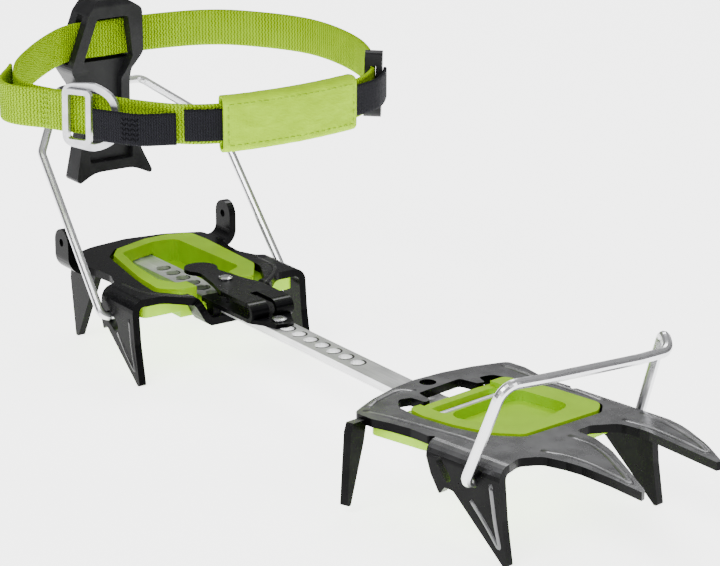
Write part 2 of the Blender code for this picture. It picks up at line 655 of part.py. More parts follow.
def front_antibott(finish):
    """Plastic snow plate of the front unit, with its bar clip and its basin."""
    under = [(145.5, 0.0), (145.5, 36.0, 3.0), (168.5, 33.5, 3.0), (176.0, 31.5, 4.0), (200.0, 30.0, 6.0),
             (200.5, 0.0)]
    rim = [(159.0, -24.0, 6.0), (151.0, -22.5, 3.0), (151.0, 24.0, 3.0), (172.0, 27.8, 10.0), (191.6, 28.6, 5.0),
           (196.0, 22.5, 4.0), (195.0, 4.0, 16.0), (194.2, -11.8, 5.0), (186.5, -18.2, 10.0), (172.0, -22.6, 10.0)]
    basin = [(164.0, -19.5, 5.0), (163.0, 18.0, 4.0), (186.0, 20.0, 5.0), (188.5, 6.0, 8.0), (187.0, -10.0, 5.0)]
    made = slab("front_antibott", [rounded(mirrored(under))], 26.6, PLATE_TOP - STEEL - GAP)
    made = join(made, slab("rim", [rounded(rim)], 24.0, PLATE_TOP + 0.6, cutter=True))
    made = cut(made, slab("basin", [rounded(basin)], 29.8, 40.0, cutter=True))
    way = [(140.0, -13.5), (150.0, -17.0), (163.0, -17.5, 2.0), (163.0, 17.5, 2.0), (150.0, 17.0),
           (140.0, 13.5)]
    made = cut(made, slab("bar_way", [rounded(way)], 20.0, 40.0, cutter=True))
    clip = [(150.2, -22.0, 1.0), (153.8, -22.0, 1.0), (153.8, 22.0, 1.0), (150.2, 22.0, 1.0)]
    bridge = [(-22.0, 27.0), (-18.0, 27.0), (-16.5, 29.6, 2.0), (16.5, 29.6, 2.0), (18.0, 27.0), (22.0, 27.0),
              (22.0, 31.5, 1.5), (12.0, 32.3, 3.0), (-12.0, 32.3, 3.0), (-22.0, 31.5, 1.5)]
    bridge = upright("bridge", [rounded(bridge)], 140.0, 160.0, "X")
    limit = slab("limit", [rounded(clip)], 20.0, 40.0, cutter=True)
    made = join(made, boolean(bridge, limit, "INTERSECT"))
    made.data.materials.append(finish)
    smooth(made)
    return turn_to_front(made)


def toe_bail(finish):
    """Toe wire: feet in the flanges, legs forward and up, crossbar bulged to one side."""
    x, z = TOE_FOOT
    near = [(x, -33.8, z), (x, -42.2, z), (209.5, -38.5, 61.0)]
    cross = [(212.0, -22.0, 60.0), (213.5, 0.0, 58.5), (215.0, 20.0, 57.2), (216.0, 34.0, 57.0)]
    far = [(209.5, 38.5, 61.5), (x, 42.2, z), (x, 33.8, z)]
    made = wire("toe_bail", bent_path(near + cross + far, 6.0), TOE_BAIL_R, finish)
    return turn_to_front(made)


# ------------------------------------------------------------------ strap set
STRAP_LOOP = [(-90.7, 0.0), (-91.0, 18.0), (-87.0, 45.0), (-75.0, 62.5), (-50.0, 77.5), (-15.0, 76.0),
              (18.0, 60.0), (34.0, 42.0), (39.0, 22.0), (40.5, 0.0), (38.5, -22.0), (30.0, -37.5),
              (10.0, -52.5), (-9.0, -65.0), (-26.0, -69.5), (-47.0, -60.5), (-66.5, -44.0), (-83.0, -26.0),
              (-90.5, -13.5)]


def loop_point(position):
    """Point and outward normal on the closed strap loop, at a share of its span."""
    count = len(STRAP_LOOP)
    whole = math.floor(position)
    part = position - whole
    a, b, c, d = (Vector(STRAP_LOOP[(whole + k) % count]) for k in (-1, 0, 1, 2))
    place = 0.5 * (2 * b + (c - a) * part + (2 * a - 5 * b + 4 * c - d) * part ** 2
                   + (3 * b - a - 3 * c + d) * part ** 3)
    along = 0.5 * ((c - a) + 2 * (2 * a - 5 * b + 4 * c - d) * part + 3 * (3 * b - a - 3 * c + d) * part ** 2)
    return place, Vector((-along.y, along.x)).normalized()


def band(name, start, end, inner, outer, low, high, finish, steps_per_span=4, cutter=False):
    """A strip along the loop; inner and outer give the offsets of its two faces."""
    steps = max(2, round((end - start) * steps_per_span))
    faces = ([], [])
    for step in range(steps + 1):
        share = step / steps
        place, normal = loop_point(start + (end - start) * share)
        for face, offset in zip(faces, (inner, outer)):
            reach = offset(share) if callable(offset) else offset
            face.append(tuple(place + normal * reach))
    outline = faces[0] + list(reversed(faces[1]))
    made = slab(name, [outline], low, high, finish, cutter)
    return tilt_strap(made)


def tilt_strap(target):
    """Place a piece drawn about height 0 at the loop's height and slope."""
    anchor = Vector((STRAP_LOOP[0][0] * MM, 0, 0))
    place = Matrix.Translation(anchor + Vector((0, 0, STRAP_HEIGHT * MM)))
    target.data.transform(place @ Matrix.Rotation(STRAP_TILT, 4, "Y") @ Matrix.Translation(-anchor))
    return target


def on_loop(target, position, offset):
    """Turn a piece drawn in (along, out, up) to lie on the loop's outside."""
    place, normal = loop_point(position)
    along = Vector((normal.y, -normal.x))
    where = place + normal * offset
    frame = Matrix(((-along.x, normal.x, 0, where.x * MM), (-along.y, normal.y, 0, where.y * MM),
                    (0, 0, 1, 0), (0, 0, 0, 1)))
    target.data.transform(frame)
    return tilt_strap(target)


def ring_on_loop(name, position, offset, outer, inner, thick, finish):
    """A flat metal ring lying against the loop; outlines in (along, up)."""
    made = slab(name, [outer, inner], -thick / 2, thick / 2, finish)
    made.data.transform(Matrix(((1, 0, 0, 0), (0, 0, 1, 0), (0, 1, 0, 0), (0, 0, 0, 1))))
    smooth(made, 50)
    return on_loop(made, position, offset)


def strap_set():
    """Webbing loop, its buckle, tail, sleeve and slider, in layers from the inside out."""
    half = WEBBING / 2
    face = WEB_THICK / 2
    second = (face + GAP, face + GAP + WEB_THICK)
    sides = [[], []]
    spans = len(STRAP_LOOP)
    for step in range(spans * 3):
        place, normal = loop_point(step / 3)
        sides[0].append(tuple(place + normal * face))
        sides[1].append(tuple(place - normal * face))
    tilt_strap(slab("ankle_strap", sides, -half, half, LIME_WEB))

    buckle_height = half - 0.4
    buckle_root = BUCKLE_AT - 0.15

    def buckle_face(height):
        def offset(share):
            place = buckle_root + (BUCKLE_FOLD[1] - buckle_root) * share
            part = min(max((place - BUCKLE_FOLD[0]) / (BUCKLE_FOLD[1] - BUCKLE_FOLD[0]), 0.0), 1.0)
            return height + BUCKLE_BULGE * math.sin(math.pi * part) ** 2
        return offset
    band("buckle_strap", buckle_root, BUCKLE_FOLD[1], buckle_face(second[0]), buckle_face(second[1]),
         -buckle_height, buckle_height, LIME_WEB, 8)
    d_outer = rounded([(-7.0, -11.5, 4.0), (6.0, -13.0, 9.0), (15.5, -8.5, 9.0), (15.5, 8.5, 9.0),
                       (6.0, 13.0, 9.0), (-7.0, 11.5, 4.0)])
    d_inner = rounded([(-4.4, -8.9, 1.8), (6.0, -10.4, 7.0), (12.9, -6.9, 7.0), (12.9, 6.9, 7.0),
                       (6.0, 10.4, 7.0), (-4.4, 8.9, 1.8)])
    ring_seat = second[1] + GAP
    ring_on_loop("buckle_ring_d", BUCKLE_AT, ring_seat + RING / 2, d_outer, d_inner, RING, RING_METAL)
    box_outer = rounded([(-5.6, -10.4, 2.0), (5.4, -10.4, 2.0), (5.4, 10.4, 2.0), (-5.6, 10.4, 2.0)])
    box_inner = rounded([(-3.7, -8.5, 0.8), (3.5, -8.5, 0.8), (3.5, 8.5, 0.8), (-3.7, 8.5, 0.8)])
    outer_seat = ring_seat + RING + GAP
    ring_on_loop("buckle_ring_square", BUCKLE_AT, outer_seat + RING / 2, box_outer, box_inner, RING, RING_METAL)

    def tail_face(extra):
        high = outer_seat + TAIL_CLEAR + extra
        low = second[0] + extra
        return lambda share: low + (high - low) * smooth_step(share * 2.0)
    band("tail_tab", TAIL_END, TAIL_ROOT, tail_face(0.0), tail_face(WEB_THICK), -half, TAPE - half, BLACK_WEB)

    def keeper_face(extra):
        lift = SLIDER_OUT + GAP - second[0]
        return lambda share: second[0] + extra + lift * smooth_step((0.26 - share) / 0.14)
    band("slider_strap", SLIDER_AT + 0.02, KEEPER_END, keeper_face(0.0), keeper_face(WEB_THICK), -TAPE / 2,
         TAPE / 2, BLACK_WEB)
    sleeve_shell = (-face - GAP - 1.2, second[1] + GAP + 1.2)
    sleeve = band("strap_sleeve", *SLEEVE_SPAN, *sleeve_shell, -10.6, 10.6, LIME_WEB)
    inside = band("sleeve_way", SLEEVE_SPAN[0] - 0.1, SLEEVE_SPAN[1] + 0.1, sleeve_shell[0] + 1.2,
                  sleeve_shell[1] - 1.2, -half - GAP, half + GAP, None, 4, True)
    cut(sleeve, inside)
    depth = face + GAP + SLIDER_WALL + SLIDER_OUT
    plate = rounded([(-SLIDER_HALF, -13.0, 3.0), (SLIDER_HALF, -13.0, 3.0), (SLIDER_HALF, 13.0, 3.0),
                     (-SLIDER_HALF, 13.0, 3.0)])
    slider = slab("strap_slider", [plate], -depth / 2, depth / 2, BLACK_PLASTIC)
    slider.data.transform(Matrix(((1, 0, 0, 0), (0, 0, 1, 0), (0, 1, 0, 0), (0, 0, 0, 1))))
    slider.data.flip_normals()
    on_loop(slider, SLIDER_AT + 0.12, SLIDER_OUT - depth / 2)
    slider_way = band("slider_way", SLIDER_AT - 0.2, SLIDER_AT + 0.4, -face - GAP, face + GAP,
                      -half - GAP, half + GAP, None, 8, True)
    cut(slider, slider_way)


# ------------------------------------------------------------------- assembly
def pivot(name, place, parent, *nodes):
    """An empty on a joint's axis, with the pieces that move about it."""
    axis = bpy.data.objects.new(name, None)
    PARTS.objects.link(axis)
    axis.empty_display_size = 10 * MM
    where = Vector((place[0] - BOX_CENTRE[0], place[1] - BOX_CENTRE[1], place[2])) * MM
    axis.matrix_world = Matrix.Translation(where)
    if parent:
        axis.parent = parent
        axis.matrix_parent_inverse = parent.matrix_world.inverted()
    for node in nodes:
        piece = bpy.data.objects[node]
        piece.parent = axis
        piece.matrix_parent_inverse = axis.matrix_world.inverted()
    bpy.context.view_layer.update()
    return axis


clear_scene()
PARTS = new_collection("crampon")
CUTTERS = new_collection("crampon_cutters")

BLACK_STEEL = new_material("black_coated_steel", (0.020, 0.020, 0.022), 0.38, 0.3)
GREY_STEEL = new_material("grey_painted_steel", (0.075, 0.075, 0.080), 0.42, 0.5)
BRIGHT_STEEL = new_material("bright_steel", (0.62, 0.62, 0.63), 0.30, 1.0)
POLISHED = new_material("polished_wire", (0.70, 0.70, 0.72), 0.16, 1.0)
LIME = new_material("lime_plastic", (0.52, 0.86, 0.02), 0.38, 0.0)
BLACK_PLASTIC = new_material("black_plastic", (0.022, 0.022, 0.024), 0.5, 0.0)
LIME_WEB = new_material("lime_webbing", (0.50, 0.82, 0.02), 0.85, 0.0)
BLACK_WEB = new_material("black_webbing", (0.020, 0.020, 0.024), 0.8, 0.0)
RING_METAL = new_material("satin_aluminium", (0.68, 0.68, 0.70), 0.35, 1.0)

heel_plate(BLACK_STEEL)
heel_antibott(LIME)
linking_bar(BRIGHT_STEEL)
latch_arm(BLACK_STEEL)
latch_spring(BLACK_STEEL)
headed_pin("latch_pin", PIN_X, 2.0, 2.8, BAR_TOP + 0.5, LATCH_TOP + GAP, 0.9, BRIGHT_STEEL)
headed_pin("spring_rivet", RIVET_X, 1.6, 2.9, BAR_TOP + GAP, BAR_TOP + SPRING + 2 * GAP, 0.8, BRIGHT_STEEL)
heel_bail(POLISHED)
heel_lever(BLACK_PLASTIC)
front_plate(GREY_STEEL)
front_antibott(LIME)
toe_bail(POLISHED)
strap_set()

to_origin = Matrix.Translation((-BOX_CENTRE[0] * MM, -BOX_CENTRE[1] * MM, 0))
for part in PARTS.objects:
    part.data.transform(to_origin @ part.matrix_world)
    part.matrix_world = Matrix.Identity(4)

reach = FRONT_HINGE[0] - FRONT_PIVOT_X
toe_reach = TOE_FOOT[0] - FRONT_PIVOT_X
front_axis = (FRONT_PIVOT_X + reach * math.cos(FRONT_YAW), reach * math.sin(FRONT_YAW), FRONT_HINGE[1])
toe_axis = (FRONT_PIVOT_X + toe_reach * math.cos(FRONT_YAW), toe_reach * math.sin(FRONT_YAW), TOE_FOOT[1])
STRAP_NODES = ("ankle_strap", "buckle_strap", "buckle_ring_d", "buckle_ring_square", "tail_tab", "slider_strap",
               "strap_sleeve", "strap_slider")
heel = pivot("heel_adjust", (0.0, 0.0, BAR_TOP), None, "heel_plate", "heel_antibott", "latch_spring",
             "spring_rivet")
pivot("latch_lift", (LATCH_HINGE[0], 0.0, LATCH_HINGE[1]), heel, "latch_arm", "latch_pin")
bail = pivot("heel_bail_swing", (HEEL_FOOT[0], 0.0, HEEL_FOOT[1]), heel, "heel_bail")
pivot("heel_lever_flip", (LEVER_PIN[0], 0.0, LEVER_PIN[1]), bail, "heel_lever", *STRAP_NODES)
front = pivot("front_pivot", front_axis, None, "front_plate", "front_antibott")
pivot("toe_bail_swing", toe_axis, front, "toe_bail")
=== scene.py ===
"""Looks for one crampon: materials, webbing, stitching, raised beads, light and camera.

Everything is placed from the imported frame. Sizes are in millimetres in the same
drawing frame as the CAD (X to the toe, Y across, Z up from the tooth tips, its
origin at the heel unit's front teeth) and at() turns them into row-frame metres.
"""

import math
import random

import bmesh
import bpy
from mathutils import Matrix, Vector


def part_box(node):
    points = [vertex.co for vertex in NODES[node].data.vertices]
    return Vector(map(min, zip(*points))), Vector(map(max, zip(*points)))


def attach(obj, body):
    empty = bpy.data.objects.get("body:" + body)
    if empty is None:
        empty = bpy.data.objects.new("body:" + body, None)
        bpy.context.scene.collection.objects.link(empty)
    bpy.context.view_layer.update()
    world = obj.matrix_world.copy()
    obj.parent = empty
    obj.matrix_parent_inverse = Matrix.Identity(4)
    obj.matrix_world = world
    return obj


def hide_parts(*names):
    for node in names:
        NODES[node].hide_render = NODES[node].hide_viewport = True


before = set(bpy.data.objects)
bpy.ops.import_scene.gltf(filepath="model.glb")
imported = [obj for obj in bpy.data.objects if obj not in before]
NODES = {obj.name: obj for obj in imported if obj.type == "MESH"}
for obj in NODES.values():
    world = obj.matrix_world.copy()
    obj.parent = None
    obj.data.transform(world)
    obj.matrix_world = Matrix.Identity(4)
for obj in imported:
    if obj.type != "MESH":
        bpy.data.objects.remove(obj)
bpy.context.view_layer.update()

MM = 0.001
ORIGIN_X = 77.6637                  # the drawing frame's X and Y at the world origin
ORIGIN_Y = 1.2261
FRONT_YAW = math.radians(8.7)    # the front unit's toe-out
FRONT_PIVOT_X = 140.0
PLATE_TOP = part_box("front_plate")[1].z / MM
HEEL_HALF = 39.5                    # half width of the heel unit over its side flanges
FRONT_HALF = 38.5
BAR_TOP = 28.2
HOLE_PITCH = 7.7                    # the bar's row of holes, as in the CAD
FIRST_HOLE = -29.2
HOLE_RANGE = range(-2, 17)
HOLE_R = 2.6
WEBBING = 15.0
WEB_THICK = 1.5
STRAP_SLOT = "lime_webbing"


def at(x, y, z):
    """A drawing-frame point in row-frame metres."""
    return Vector(((x - ORIGIN_X) * MM, (y - ORIGIN_Y) * MM, z * MM))


def front_at(x, y, z):
    """A point of the toed-out front unit in row-frame metres."""
    run = x - FRONT_PIVOT_X
    return at(FRONT_PIVOT_X + run * math.cos(FRONT_YAW) - y * math.sin(FRONT_YAW),
              run * math.sin(FRONT_YAW) + y * math.cos(FRONT_YAW), z)


def mesh_object(name, form, face):
    """A new object in the scene from a finished bmesh, with its one material."""
    mesh = bpy.data.meshes.new(name)
    form.to_mesh(mesh)
    form.free()
    made = bpy.data.objects.new(name, mesh)
    bpy.context.scene.collection.objects.link(made)
    mesh.materials.append(face)
    return made


# ------------------------------------------------------------------ shader tools
def new_material(name):
    """A material with nodes and its Principled shader."""
    made = bpy.data.materials.new(name)
    made.use_nodes = True
    return made, made.node_tree.nodes["Principled BSDF"]


def node(made, kind, **values):
    """A shader node; values set its properties or, by socket name, its inputs."""
    added = made.node_tree.nodes.new(kind)
    for key, value in values.items():
        socket = key.replace("_", " ").title()
        if socket in added.inputs:
            added.inputs[socket].default_value = value
        else:
            setattr(added, key, value)
    return added


def link(made, source, target):
    made.node_tree.links.new(source, target)


def maths(made, operation, first, second=None, third=None):
    """A Math node over sockets or plain numbers."""
    added = made.node_tree.nodes.new("ShaderNodeMath")
    added.operation = operation
    for socket, value in zip(added.inputs, (first, second, third)):
        if value is None:
            continue
        if isinstance(value, (int, float)):
            socket.default_value = value
        else:
            link(made, value, socket)
    return added.outputs[0]


def mapped(made, scale):
    """Object coordinates in millimetres, stretched by a scale for each axis."""
    place = made.node_tree.nodes.new("ShaderNodeTexCoord")
    stretch = made.node_tree.nodes.new("ShaderNodeMapping")
    stretch.inputs["Scale"].default_value = [s / MM for s in scale]
    link(made, place.outputs["Object"], stretch.inputs["Vector"])
    return stretch.outputs["Vector"]


def noise(made, scale, detail=3.0, roughness=0.55):
    """Noise with a period in millimetres for each axis."""
    vector = mapped(made, [1.0 / s for s in scale])
    added = node(made, "ShaderNodeTexNoise", scale=1.0, detail=detail, roughness=roughness)
    link(made, vector, added.inputs["Vector"])
    return added.outputs["Fac"]


def ramp(made, value, stops):
    """A colour ramp; stops are (position, colour)."""
    added = made.node_tree.nodes.new("ShaderNodeValToRGB")
    while len(added.color_ramp.elements) < len(stops):
        added.color_ramp.elements.new(0.5)
    for element, (position, colour) in zip(added.color_ramp.elements, stops):
        element.position = position
        element.color = (*colour, 1.0)
    link(made, value, added.inputs["Fac"])
    return added.outputs["Color"]


def spread(made, value, low, high):
    """A 0 to 1 value stretched to another range."""
    added = node(made, "ShaderNodeMapRange", to_min=low, to_max=high)
    link(made, value, added.inputs["Value"])
    return added.outputs["Result"]


def bump(made, shader, height, depth, strength=1.0):
    """Bump from a height in 0 to 1, worth a depth in millimetres."""
    added = node(made, "ShaderNodeBump", distance=depth * MM, strength=strength)
    link(made, height, added.inputs["Height"])
    link(made, added.outputs["Normal"], shader.inputs["Normal"])


def darker(colour, share):
    return tuple(c * share for c in colour)


# --------------------------------------------------------------------- materials
LIME = (0.31, 0.58, 0.0)
LIME_CLOTH = (0.27, 0.46, 0.0)


def coated_steel(name, colour, roughness, metallic, specular=0.3, side_shade_share=0.4):
    """Baked coating on stamped steel: fine orange peel, cloudy gloss, faint drawn lines.

    Painted shade by facing: side faces get a darker colour and a weaker specular than flat tops."""
    made, shader = new_material(name)
    facing = made.node_tree.nodes.new("ShaderNodeTexCoord")
    axes = made.node_tree.nodes.new("ShaderNodeSeparateXYZ")
    link(made, facing.outputs["Normal"], axes.inputs["Vector"])
    # painted shade: colour and specular scale down as a face turns from up to the side
    facing_shade = node(made, "ShaderNodeMapRange", from_min=0.25, from_max=0.9, to_min=side_shade_share, to_max=1.0)
    link(made, axes.outputs["Z"], facing_shade.inputs["Value"])
    facing_shade = facing_shade.outputs["Result"]
    cloud = noise(made, (9.0, 9.0, 9.0), 4.0)
    peel = noise(made, (0.55, 0.55, 0.55), 2.0)
    lines = noise(made, (14.0, 0.35, 6.0), 2.0)
    coat = made.node_tree.nodes.new("ShaderNodeVectorMath")
    coat.operation = "SCALE"
    link(made, ramp(made, cloud, [(0.3, darker(colour, 0.82)), (0.7, darker(colour, 1.22))]), coat.inputs[0])
    link(made, facing_shade, coat.inputs["Scale"])
    link(made, coat.outputs["Vector"], shader.inputs["Base Color"])
    link(made, spread(made, cloud, roughness - 0.07, roughness + 0.08), shader.inputs["Roughness"])
    shader.inputs["Metallic"].default_value = metallic
    link(made, maths(made, "MULTIPLY", facing_shade, specular), shader.inputs["Specular IOR Level"])
    height = maths(made, "ADD", peel, maths(made, "MULTIPLY", lines, 0.35))
    bump(made, shader, height, 0.035, 0.6)
    return made


def brushed_steel(name):
    """Bare flat bar: long brushed streaks, small scuffs, a duller film in patches."""
    made, shader = new_material(name)
    streak = noise(made, (26.0, 0.28, 0.28), 3.0)
    film = noise(made, (16.0, 7.0, 7.0), 4.0)
    scuff = noise(made, (3.0, 1.1, 1.0), 5.0, 0.7)
    link(made, ramp(made, maths(made, "MULTIPLY", streak, film),
                    [(0.10, (0.52, 0.52, 0.53)), (0.42, (0.86, 0.86, 0.87))]), shader.inputs["Base Color"])
    link(made, spread(made, maths(made, "MULTIPLY", film, scuff), 0.24, 0.62), shader.inputs["Roughness"])
    shader.inputs["Metallic"].default_value = 0.7
    bump(made, shader, maths(made, "ADD", streak, scuff), 0.03, 0.5)
    return made


def polished_steel(name, roughness):
    """Drawn wire: bright, with faint lines and a slightly uneven polish."""
    made, shader = new_material(name)
    cloud = noise(made, (5.0, 5.0, 5.0), 3.0)
    lines = noise(made, (9.0, 0.3, 9.0), 2.0)
    shader.inputs["Base Color"].default_value = (0.66, 0.66, 0.68, 1.0)
    shader.inputs["Metallic"].default_value = 1.0
    link(made, spread(made, cloud, roughness - 0.05, roughness + 0.08), shader.inputs["Roughness"])
    bump(made, shader, lines, 0.01, 0.4)
    return made


def satin_aluminium(name):
    """Bead-blasted and anodised buckle metal."""
    made, shader = new_material(name)
    grain = noise(made, (0.35, 0.35, 0.35), 2.0)
    cloud = noise(made, (4.0, 4.0, 4.0), 3.0)
    link(made, ramp(made, cloud, [(0.35, (0.40, 0.40, 0.42)), (0.7, (0.56, 0.56, 0.58))]),
         shader.inputs["Base Color"])
    shader.inputs["Metallic"].default_value = 0.9
    link(made, spread(made, cloud, 0.28, 0.42), shader.inputs["Roughness"])
    bump(made, shader, grain, 0.02, 0.5)
    return made


def lime_plastic(name):
    """Flexible moulded plastic: waxy, very slightly mottled, fine spark-eroded skin."""
    made, shader = new_material(name)
    cloud = noise(made, (13.0, 13.0, 13.0), 3.0)
    skin = noise(made, (0.5, 0.5, 0.5), 2.0)
    link(made, ramp(made, cloud, [(0.3, darker(LIME, 0.90)), (0.75, darker(LIME, 1.08))]),
         shader.inputs["Base Color"])
    link(made, spread(made, cloud, 0.30, 0.44), shader.inputs["Roughness"])
    shader.inputs["Specular IOR Level"].default_value = 0.16
    shader.inputs["Subsurface Weight"].default_value = 0.15
    shader.inputs["Subsurface Radius"].default_value = (0.5, 0.8, 0.1)
    shader.inputs["Subsurface Scale"].default_value = 1.5 * MM
    bump(made, shader, skin, 0.02, 0.5)
    return made


def black_plastic(name):
    """Glass-filled nylon: dark grey-black with a fine leathery mould grain."""
    made, shader = new_material(name)
    grain = noise(made, (0.45, 0.45, 0.45), 3.0)
    cloud = noise(made, (7.0, 7.0, 9.0), 3.0)
    link(made, ramp(made, cloud, [(0.3, (0.006, 0.006, 0.007)), (0.75, (0.014, 0.014, 0.015))]),
         shader.inputs["Base Color"])
    link(made, spread(made, cloud, 0.34, 0.50), shader.inputs["Roughness"])
    shader.inputs["Specular IOR Level"].default_value = 0.16
    bump(made, shader, grain, 0.05, 0.6)
    return made


def strap_coordinates(made):
    """Distance along and across a strap in millimetres, from its UV map."""
    place = node(made, "ShaderNodeUVMap", uv_map="strap")
    parts = made.node_tree.nodes.new("ShaderNodeSeparateXYZ")
    link(made, place.outputs["UV"], parts.inputs["Vector"])
    return parts.outputs["X"], parts.outputs["Y"]


def cycle(made, value, period):
    """A 0 to 1 wave of a distance."""
    wave = maths(made, "SINE", maths(made, "MULTIPLY", value, 2 * math.pi / period))
    return maths(made, "MULTIPLY_ADD", wave, 0.5, 0.5)


def webbing(name, colour, rib, stitch, depth, hollow_shade_share, sheen):
    """Woven strap: cross ribs made of slanted yarns, fuzzy in the hollows, flat at the selvedge. Its colour
    is painted shade in the hollows and painted highlight on the rib crowns, over random patches of tone.
    """
    made, shader = new_material(name)
    along, across = strap_coordinates(made)
    wander = noise(made, (3.0, 3.0, 3.0), 3.0)
    slant = maths(made, "MULTIPLY_ADD", maths(made, "PINGPONG", across, stitch), 0.55, along)
    shifted = maths(made, "MULTIPLY_ADD", wander, 0.35, slant)
    ribs = cycle(made, shifted, rib)
    yarns = cycle(made, maths(made, "MULTIPLY_ADD", along, 0.30, across), stitch)
    fibre = noise(made, (0.18, 0.18, 0.18), 2.0)
    crowns = maths(made, "POWER", ribs, 0.55)
    weave = maths(made, "MULTIPLY", crowns, maths(made, "MULTIPLY_ADD", yarns, 0.45, 0.55))
    inset = maths(made, "SUBTRACT", WEBBING / 2, maths(made, "ABSOLUTE", across))
    edge = maths(made, "SMOOTH_MIN", inset, 1.0, 0.4)
    height = maths(made, "MULTIPLY", weave, maths(made, "MULTIPLY_ADD", edge, 0.6, 0.4))
    height = maths(made, "MULTIPLY_ADD", fibre, 0.22, height)
    patches = noise(made, (11.0, 11.0, 11.0), 3.0)
    # painted shade in the weave's hollows and painted highlight on its crowns, plus random patches of tone
    weave_shade_and_tone = maths(made, "MULTIPLY_ADD", patches, 0.3, maths(made, "MULTIPLY", weave, 0.85))
    stops = [(0.05, darker(colour, hollow_shade_share)), (0.50, colour), (0.95, darker(colour, 1.18))]
    link(made, ramp(made, weave_shade_and_tone, stops), shader.inputs["Base Color"])
    shader.inputs["Roughness"].default_value = 0.78
    shader.inputs["Specular IOR Level"].default_value = sheen
    bump(made, shader, height, depth, 1.0)
    return made


def plain_cloth(name, colour):
    """Tightly woven sleeve fabric with soft creases, its colour darker in the crease hollows and lighter on
    their ridges: painted shade and painted light.
    """
    made, shader = new_material(name)
    along, across = strap_coordinates(made)
    threads = maths(made, "MULTIPLY", cycle(made, along, 0.55), cycle(made, across, 0.55))
    crease_height_and_shade = noise(made, (7.0, 7.0, 3.0), 4.0)
    # the colour follows the crease height: painted shade in the hollows, painted light on the ridges
    link(made, ramp(made, crease_height_and_shade, [(0.3, darker(colour, 0.88)), (0.7, darker(colour, 1.12))]),
         shader.inputs["Base Color"])
    shader.inputs["Roughness"].default_value = 0.62
    shader.inputs["Specular IOR Level"].default_value = 0.05
    height = maths(made, "MULTIPLY_ADD", crease_height_and_shade, 9.0, threads)
    bump(made, shader, height, 0.09, 0.9)
    return made


def thread_material(name, colour):
    """Twisted sewing thread."""
    made, shader = new_material(name)
    twist = noise(made, (0.3, 0.3, 0.3), 2.0)
    link(made, ramp(made, twist, [(0.3, darker(colour, 0.7)), (0.7, colour)]), shader.inputs["Base Color"])
    shader.inputs["Roughness"].default_value = 0.7
    shader.inputs["Specular IOR Level"].default_value = 0.05
    bump(made, shader, twist, 0.05, 0.8)
    return made


BLACK_STEEL = coated_steel("black_coating", (0.006, 0.006, 0.007), 0.27, 0.05, 0.16, 0.20)
# lighter, more metallic bevel coats: partly worn coating, partly painted highlight along the plate edges
BLACK_WEAR_HIGHLIGHT_EDGE = coated_steel("black_coating_wear_highlight_edge", (0.085, 0.085, 0.088), 0.30, 0.7, 0.4, 0.8)
GREY_STEEL = coated_steel("grey_coating", (0.165, 0.165, 0.170), 0.27, 0.75, 0.5, 0.03)
GREY_WEAR_HIGHLIGHT_EDGE = coated_steel("grey_coating_wear_highlight_edge", (0.30, 0.30, 0.31), 0.28, 0.85, 0.5, 0.7)
# lighter than the grey plate: painted highlight on the raised beads
BEAD_HIGHLIGHT_STEEL = coated_steel("bead_highlight_coating", (0.20, 0.20, 0.205), 0.28, 0.75, 0.5, 0.5)
# lighter than the black plate: painted highlight on the heel's raised beads
HEEL_BEAD_HIGHLIGHT = coated_steel("heel_bead_highlight_coating", (0.030, 0.030, 0.031), 0.26, 0.4, 0.5, 0.5)
BAR_STEEL = brushed_steel("brushed_bar")
WIRE_STEEL = polished_steel("drawn_wire", 0.27)
PIN_STEEL = polished_steel("turned_pin", 0.22)
RING_METAL = satin_aluminium("buckle_metal")
# dark coat on the bare bar's hole rims: painted shade at the holes
RIM_SHADE_STEEL = coated_steel("punched_rim_shade", (0.045, 0.045, 0.047), 0.35, 0.6, 0.3, 0.8)
LIME_PART = lime_plastic("lime_moulding")
BLACK_PART = black_plastic("black_moulding")
LIME_WEB = webbing("lime_weave", LIME_CLOTH, 1.35, 0.9, 0.60, 0.10, 0.03)
BLACK_WEB = webbing("black_weave", (0.009, 0.009, 0.012), 0.95, 0.6, 0.35, 0.15, 0.10)
SLEEVE_CLOTH = plain_cloth("sleeve_cloth", darker(LIME_CLOTH, 1.15))
LIME_THREAD = thread_material("lime_thread", (0.30, 0.52, 0.01))
BLACK_THREAD = thread_material("black_thread", (0.003, 0.003, 0.004))

FINISHES = {
    "heel_plate": (BLACK_STEEL, BLACK_WEAR_HIGHLIGHT_EDGE, 0.5), "latch_arm": (BLACK_STEEL, BLACK_WEAR_HIGHLIGHT_EDGE, 0.25),
    "latch_spring": (BLACK_STEEL, BLACK_WEAR_HIGHLIGHT_EDGE, 0.2), "front_plate": (GREY_STEEL, GREY_WEAR_HIGHLIGHT_EDGE, 0.5),
    "linking_bar": (BAR_STEEL, None, 0.3), "latch_pin": (PIN_STEEL, None, 0.0),
    "spring_rivet": (PIN_STEEL, None, 0.0), "heel_bail": (WIRE_STEEL, None, 0.0),
    "toe_bail": (WIRE_STEEL, None, 0.0), "heel_antibott": (LIME_PART, None, 0.5),
    "front_antibott": (LIME_PART, None, 0.4), "heel_lever": (BLACK_PART, None, 0.7),
    "strap_slider": (BLACK_PART, None, 0.6), "buckle_ring_d": (RING_METAL, None, 0.4),
    "buckle_ring_square": (RING_METAL, None, 0.35),
}


